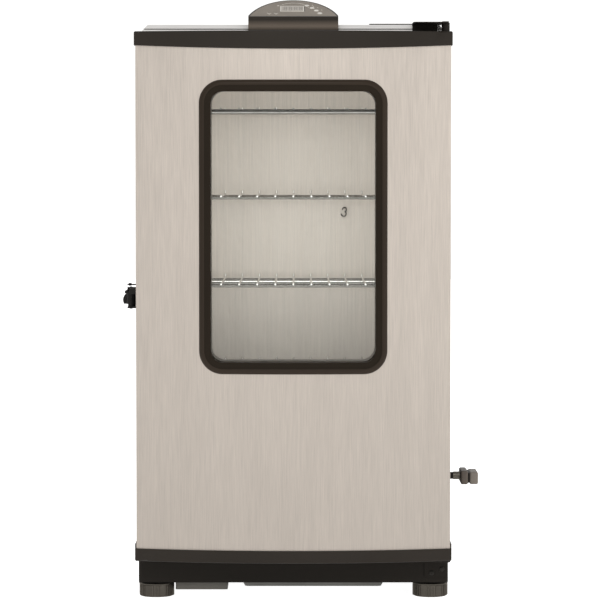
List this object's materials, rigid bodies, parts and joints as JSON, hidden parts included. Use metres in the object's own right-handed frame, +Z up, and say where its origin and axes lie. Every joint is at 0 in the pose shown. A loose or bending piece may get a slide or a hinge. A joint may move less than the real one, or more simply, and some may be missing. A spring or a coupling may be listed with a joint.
{
  "type": "electric cabinet smoker",
  "caption": "Upright electric smoker: insulated cabinet with a bowed steel door and window, wire racks, chip loader, side latch, top controller and levelling feet",
  "frame": {"origin": "on the floor, midway between the left and right feet, under the middle of the cabinet body's width and depth", "axes": "+X is the right-hand side seen from the front, -Y is the way the door faces, +Z is up"},
  "size_m": [0.6292, 0.5329, 1.0448],
  "materials": {
    "door_steel": "vertical brushed grain",
    "case_paint": "fine textured satin paint",
    "lid_steel": "satin",
    "base_paint": "satin",
    "zinc_sheet": "plain zinc coat",
    "chamber_steel": "bright rolled",
    "mineral_wool": "fibrous, hidden inside",
    "rack_chrome": "plated wire",
    "cap_plastic": "satin moulding",
    "frame_plastic": "satin moulding",
    "pane_glass": "clear",
    "seal_rubber": "soft silicone",
    "latch_black": "semi gloss",
    "foot_metal": "gunmetal with a knurled rim",
    "bright_zinc": "zinc plated",
    "control_body": "gloss moulding",
    "control_face": "satin grey overlay",
    "screen_glass": "tinted",
    "board_green": "lacquered board",
    "button_grey": "satin",
    "element_steel": "heat darkened",
    "box_grey": "grey coat",
    "tray_grey": "dull coat",
    "grip_plastic": "satin moulding"
  },
  "bodies": {
    "cabinet": {"outer_shell": "case_paint", "top_panel": "lid_steel", "base_pan": "base_paint", "foot_rails": "zinc_sheet", "inner_liner": "chamber_steel", "wall_insulation": "mineral_wool", "front_collar": "case_paint", "rack_supports": "chamber_steel", "temperature_sensor": "bright_zinc", "heating_element": "element_steel", "rear_service_cover": "case_paint", "chip_housing": "chamber_steel", "loader_sleeve": "bright_zinc", "vent_collar": "latch_black", "rear_handle": "latch_black", "power_box": "box_grey", "cord_inlet": "grip_plastic", "grease_tray_rails": "zinc_sheet", "grease_drain": "bright_zinc", "latch_base": "latch_black", "top_hinge_bracket": "base_paint", "bottom_hinge_bracket": "base_paint", "hinge_pins": "bright_zinc", "cabinet_screws": "bright_zinc", "controller_housing": "control_body", "controller_faceplate": "control_face", "display_window": "screen_glass", "circuit_board": "board_green"},
    "door": {"door_skin": "door_steel", "door_top_cap": "cap_plastic", "door_bottom_cap": "cap_plastic", "door_liner": "chamber_steel", "door_insulation": "mineral_wool", "door_gasket": "seal_rubber", "window_frame": "frame_plastic", "window_glass": "pane_glass", "window_inner_frame": "frame_plastic", "latch_keeper": "latch_black"},
    "latch_lever": {"latch_lever": "latch_black"},
    "latch_strap": {"latch_strap": "latch_black"},
    "loader_ring": {"loader_bearing_ring": "seal_rubber"},
    "loader": {"loader_scoop": "chamber_steel", "loader_handle": "grip_plastic"},
    "damper": {"damper_disc": "latch_black"},
    "chip_tray": {"chip_tray": "tray_grey"},
    "grease_tray": {"grease_tray": "tray_grey"},
    "water_bowl": {"water_bowl": "chamber_steel"},
    "drip_pan": {"drip_pan": "chamber_steel"},
    "rack_1": {"rack_1": "rack_chrome"},
    "button_1": {"control_button_1": "button_grey"},
    "rack_2": {"rack_2": "rack_chrome"},
    "button_2": {"control_button_2": "button_grey"},
    "rack_3": {"rack_3": "rack_chrome"},
    "button_3": {"control_button_3": "button_grey"},
    "rack_4": {"rack_4": "rack_chrome"},
    "button_4": {"control_button_4": "button_grey"},
    "foot_front_left": {"foot_front_left": "foot_metal"},
    "foot_front_right": {"foot_front_right": "foot_metal"},
    "foot_rear_left": {"foot_rear_left": "foot_metal"},
    "foot_rear_right": {"foot_rear_right": "foot_metal"}
  },
  "joints": [
    {"name": "door_hinge", "type": "hinge", "parent": "cabinet", "child": "door", "pos_m": [0.262, -0.236, 0.53], "axis": [0, 0, 1], "range_deg": [0, 130]},
    {"name": "latch_lever_pivot", "type": "hinge", "parent": "cabinet", "child": "latch_lever", "pos_m": [-0.284, -0.165, 0.5225], "axis": [0, 0, 1], "range_deg": [0, 100]},
    {"name": "latch_strap_pivot", "type": "hinge", "parent": "latch_lever", "child": "latch_strap", "pos_m": [-0.284, -0.159, 0.5355], "axis": [0, 0, 1], "range_deg": [-100, 0]},
    {"name": "loader_slide", "type": "slide", "parent": "cabinet", "child": "loader_ring", "axis": [1, 0, 0], "range_m": [0, 0.2]},
    {"name": "loader_turn", "type": "hinge", "parent": "loader_ring", "child": "loader", "pos_m": [0.27, -0.02, 0.1955], "axis": [1, 0, 0], "range_deg": [0, 180]},
    {"name": "damper_turn", "type": "hinge", "parent": "cabinet", "child": "damper", "pos_m": [-0.272, 0.04, 0.87], "axis": [1, 0, 0], "range_deg": [0, 60]},
    {"name": "chip_tray_slide", "type": "slide", "parent": "cabinet", "child": "chip_tray", "axis": [0, -1, 0], "range_m": [0, 0.05]},
    {"name": "grease_tray_slide", "type": "slide", "parent": "cabinet", "child": "grease_tray", "axis": [0, 1, 0], "range_m": [0, 0.25]},
    {"name": "water_bowl_lift", "type": "slide", "parent": "cabinet", "child": "water_bowl", "axis": [0, 0, 1], "range_m": [0, 0.04]},
    {"name": "drip_pan_slide", "type": "slide", "parent": "cabinet", "child": "drip_pan", "axis": [0, -1, 0], "range_m": [0, 0.015]},
    {"name": "rack_1_slide", "type": "slide", "parent": "cabinet", "child": "rack_1", "axis": [0, -1, 0], "range_m": [0, 0.015]},
    {"name": "rack_2_slide", "type": "slide", "parent": "cabinet", "child": "rack_2", "axis": [0, -1, 0], "range_m": [0, 0.015]},
    {"name": "rack_3_slide", "type": "slide", "parent": "cabinet", "child": "rack_3", "axis": [0, -1, 0], "range_m": [0, 0.015]},
    {"name": "rack_4_slide", "type": "slide", "parent": "cabinet", "child": "rack_4", "axis": [0, -1, 0], "range_m": [0, 0.015]},
    {"name": "foot_front_left_turn", "type": "hinge", "parent": "cabinet", "child": "foot_front_left", "pos_m": [-0.24, -0.168, 0.02], "axis": [0, 0, 1], "range_deg": [-180, 180]},
    {"name": "foot_front_right_turn", "type": "hinge", "parent": "cabinet", "child": "foot_front_right", "pos_m": [0.24, -0.168, 0.02], "axis": [0, 0, 1], "range_deg": [-180, 180]},
    {"name": "foot_rear_left_turn", "type": "hinge", "parent": "cabinet", "child": "foot_rear_left", "pos_m": [-0.24, 0.158, 0.02], "axis": [0, 0, 1], "range_deg": [-180, 180]},
    {"name": "foot_rear_right_turn", "type": "hinge", "parent": "cabinet", "child": "foot_rear_right", "pos_m": [0.24, 0.158, 0.02], "axis": [0, 0, 1], "range_deg": [-180, 180]},
    {"name": "button_1_press", "type": "slide", "parent": "cabinet", "child": "button_1", "axis": [0, 0.3404, -0.9403], "range_m": [0, 0.0008], "stiffness_N_per_m": 400},
    {"name": "button_2_press", "type": "slide", "parent": "cabinet", "child": "button_2", "axis": [0, 0.3404, -0.9403], "range_m": [0, 0.0008], "stiffness_N_per_m": 400},
    {"name": "button_3_press", "type": "slide", "parent": "cabinet", "child": "button_3", "axis": [0, 0.3404, -0.9403], "range_m": [0, 0.0008], "stiffness_N_per_m": 400},
    {"name": "button_4_press", "type": "slide", "parent": "cabinet", "child": "button_4", "axis": [0, 0.3404, -0.9403], "range_m": [0, 0.0008], "stiffness_N_per_m": 400}
  ],
  "couplings": [
    {"joint": "latch_strap_pivot", "follows": "latch_lever_pivot", "ratio": -1}
  ]
}
